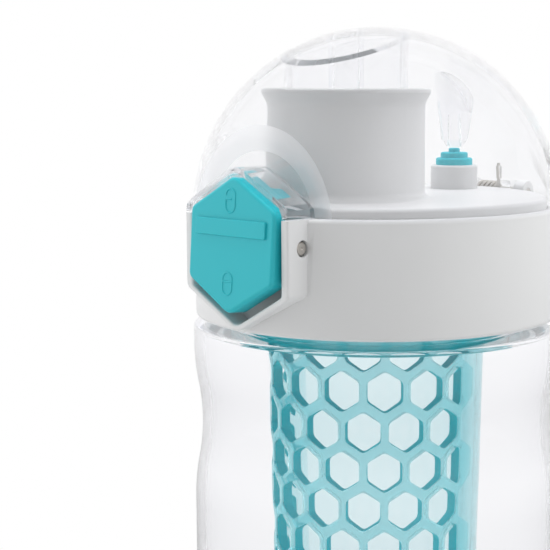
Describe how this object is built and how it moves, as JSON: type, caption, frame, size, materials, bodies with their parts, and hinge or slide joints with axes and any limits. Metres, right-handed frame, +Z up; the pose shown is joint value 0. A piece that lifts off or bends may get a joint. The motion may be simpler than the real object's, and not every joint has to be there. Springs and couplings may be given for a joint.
{
  "type": "fruit infuser water bottle",
  "caption": "Clear waisted drinking bottle with a honeycomb fruit basket in its neck, a screw cap with a flared spout, and a domed flip lid held by a hexagonal sliding lock button.",
  "frame": {"origin": "centre of the base, on the plane that the bottle stands on", "axes": "+Z up along the bottle's axis, -Y to the front where the latch is, +X to the right seen from the front"},
  "size_m": [0.074, 0.083, 0.239],
  "materials": {
    "bottle_clear": "clear moulded copolyester",
    "lid_clear": "clear moulded copolyester",
    "basket_teal": "translucent teal, glossy",
    "cap_white": "fine satin white",
    "button_teal": "satin teal",
    "silicone_teal": "soft matte teal",
    "silicone_clear": "soft milky",
    "steel": "plain stainless"
  },
  "bodies": {
    "bottle": {"bottle_body": "bottle_clear"},
    "infuser": {"infuser_basket": "basket_teal"},
    "neck_seal": {"neck_gasket": "silicone_clear"},
    "cap": {"cap_shell": "cap_white", "cap_deck": "cap_white", "vent_seal": "silicone_teal", "hinge_pin": "steel", "hinge_spring": "steel", "latch_pin": "steel", "latch_spring": "steel"},
    "lid": {"lid_dome": "lid_clear", "spout_stopper": "silicone_clear"},
    "latch": {"latch_rocker": "button_teal"},
    "button": {"lock_button": "button_teal"}
  },
  "joints": [
    {"name": "infuser_lift", "type": "slide", "parent": "bottle", "child": "infuser", "axis": [0, 0, 1], "range_m": [0, 0.14]},
    {"name": "cap_rise", "type": "slide", "parent": "infuser", "child": "neck_seal", "axis": [0, 0, 1], "range_m": [0, 0.00505]},
    {"name": "cap_turn", "type": "hinge", "parent": "neck_seal", "child": "cap", "pos_m": [0, 0, 0.19], "axis": [0, 0, 1], "range_deg": [0, 450]},
    {"name": "lid_hinge", "type": "hinge", "parent": "cap", "child": "lid", "pos_m": [0, 0.0395, 0.2042], "axis": [-1, 0, 0], "range_deg": [0, 120], "deforming": ["hinge_spring"]},
    {"name": "latch_press", "type": "hinge", "parent": "cap", "child": "latch", "pos_m": [0, -0.0349, 0.1985], "axis": [1, 0, 0], "range_deg": [0, 6], "stiffness_Nm_per_rad": 0.2, "deforming": ["latch_spring"]},
    {"name": "lock_slide", "type": "slide", "parent": "latch", "child": "button", "axis": [0, 0, 1], "range_m": [-0.0016, 0]}
  ],
  "couplings": [
    {"joint": "cap_rise", "follows": "cap_turn", "m_per_rad": 0.00063662}
  ]
}
